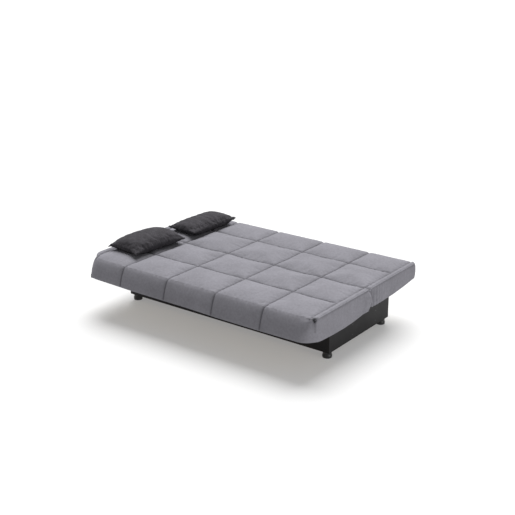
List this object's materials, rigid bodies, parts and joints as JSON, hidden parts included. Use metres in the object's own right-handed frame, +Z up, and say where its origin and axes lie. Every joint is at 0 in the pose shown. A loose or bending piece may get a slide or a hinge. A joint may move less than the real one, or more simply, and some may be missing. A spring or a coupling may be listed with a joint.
{
  "type": "futon sofa bed",
  "caption": "Click-clack sofa bed laid flat: quilted seat and back halves on a folding steel frame over a storage chest, with loose scatter cushions.",
  "frame": {"origin": "on the floor, below the middle of the flat bed", "axes": "+X along the bed's length to its right end, +Y from the front (seat) edge to the rear (back) edge, +Z up"},
  "size_m": [1.9, 1.318, 0.5204],
  "materials": {
    "melamine_board": "satin",
    "pine_block": "matte",
    "hardboard": "matte",
    "zinc_plated_steel": "satin",
    "blackened_steel": "satin",
    "foot_plastic": "satin",
    "powder_coated_steel": "satin",
    "nylon": "satin",
    "beech_slat": "satin",
    "holder_plastic": "matte",
    "foam": "matte",
    "quilted_grey_fabric": "matte",
    "charcoal_cushion_fabric": "matte"
  },
  "bodies": {
    "base": {"chest_front_board": "melamine_board", "chest_rear_board": "melamine_board", "chest_left_board": "melamine_board", "chest_right_board": "melamine_board", "chest_bottom_board": "hardboard", "chest_corner_blocks": "pine_block", "chest_screws": "blackened_steel", "foot_bolts": "zinc_plated_steel", "front_left_foot": "foot_plastic", "front_right_foot": "foot_plastic", "rear_left_foot": "foot_plastic", "rear_right_foot": "foot_plastic", "left_base_bracket": "powder_coated_steel", "right_base_bracket": "powder_coated_steel", "base_bracket_bolts": "blackened_steel", "link_foot_pins": "zinc_plated_steel"},
    "rear_swing_links": {"left_rear_link": "powder_coated_steel", "right_rear_link": "powder_coated_steel", "rear_link_shaft": "zinc_plated_steel"},
    "front_swing_links": {"left_front_link": "powder_coated_steel", "right_front_link": "powder_coated_steel", "front_link_shaft": "zinc_plated_steel"},
    "carriage": {"carriage_cross_tube": "powder_coated_steel", "left_hinge_plate": "powder_coated_steel", "right_hinge_plate": "powder_coated_steel", "left_carriage_lug": "powder_coated_steel", "right_carriage_lug": "powder_coated_steel", "hinge_pins": "zinc_plated_steel", "hinge_bushes": "nylon", "hinge_pin_clips": "zinc_plated_steel", "hinge_stops": "zinc_plated_steel", "pawl_pins": "zinc_plated_steel", "pawl_springs": "zinc_plated_steel", "mattress_fold": "quilted_grey_fabric"},
    "pawl_left": {"left_pawl": "zinc_plated_steel"},
    "pawl_right": {"right_pawl": "zinc_plated_steel"},
    "seat": {"seat_outer_tube": "powder_coated_steel", "seat_inner_tube": "powder_coated_steel", "seat_left_tube": "powder_coated_steel", "seat_right_tube": "powder_coated_steel", "seat_slats": "beech_slat", "seat_slat_holders": "holder_plastic", "left_seat_arm": "powder_coated_steel", "right_seat_arm": "powder_coated_steel", "seat_arm_bolts": "zinc_plated_steel", "seat_foam": "foam", "seat_cover": "quilted_grey_fabric"},
    "back": {"back_outer_tube": "powder_coated_steel", "back_inner_tube": "powder_coated_steel", "back_left_tube": "powder_coated_steel", "back_right_tube": "powder_coated_steel", "back_slats": "beech_slat", "back_slat_holders": "holder_plastic", "left_back_arm": "powder_coated_steel", "right_back_arm": "powder_coated_steel", "back_arm_bolts": "zinc_plated_steel", "back_foam": "foam", "back_cover": "quilted_grey_fabric"},
    "cushion_front": {"front_cushion": "charcoal_cushion_fabric"},
    "cushion_rear": {"rear_cushion": "charcoal_cushion_fabric"}
  },
  "joints": [
    {"name": "back_fold", "type": "hinge", "parent": "carriage", "child": "back", "pos_m": [0, 0.121, 0.337], "axis": [1, 0, 0], "range_deg": [0, 75]},
    {"name": "seat_lift", "type": "hinge", "parent": "carriage", "child": "seat", "pos_m": [0, -0.059, 0.337], "axis": [-1, 0, 0], "range_deg": [0, 45]},
    {"name": "rear_link_swing", "type": "hinge", "parent": "base", "child": "rear_swing_links", "pos_m": [0, 0.23092, 0.09047], "axis": [-1, 0, 0], "range_deg": [0, 72.01]},
    {"name": "front_link_swing", "type": "hinge", "parent": "base", "child": "front_swing_links", "pos_m": [0, 0.03092, 0.09047], "axis": [-1, 0, 0], "range_deg": [0, 72.01]},
    {"name": "carriage_level", "type": "hinge", "parent": "rear_swing_links", "child": "carriage", "pos_m": [0, 0.131, 0.228], "axis": [1, 0, 0], "range_deg": [0, 72.01]},
    {"name": "left_pawl_click", "type": "hinge", "parent": "carriage", "child": "pawl_left", "pos_m": [-0.901, 0.088, 0.2895], "axis": [-1, 0, 0], "range_deg": [0, 12], "stiffness_Nm_per_rad": 0.3},
    {"name": "right_pawl_click", "type": "hinge", "parent": "carriage", "child": "pawl_right", "pos_m": [0.901, 0.088, 0.2895], "axis": [-1, 0, 0], "range_deg": [0, 12], "stiffness_Nm_per_rad": 0.3},
    {"name": "front_cushion_slide", "type": "slide", "parent": "seat", "child": "cushion_front", "axis": [0, -1, 0], "range_m": [0, 0.21]},
    {"name": "rear_cushion_slide", "type": "slide", "parent": "back", "child": "cushion_rear", "axis": [0, 1, 0], "range_m": [0, 0.13]}
  ],
  "couplings": [
    {"joint": "rear_link_swing", "follows": "back_fold", "ratio": 0.96},
    {"joint": "front_link_swing", "follows": "back_fold", "ratio": 0.96},
    {"joint": "carriage_level", "follows": "back_fold", "ratio": 0.96},
    {"joint": "rear_cushion_slide", "follows": "back_fold", "m_per_rad": 0.099},
    {"joint": "front_cushion_slide", "follows": "seat_lift", "m_per_rad": 0.267}
  ]
}
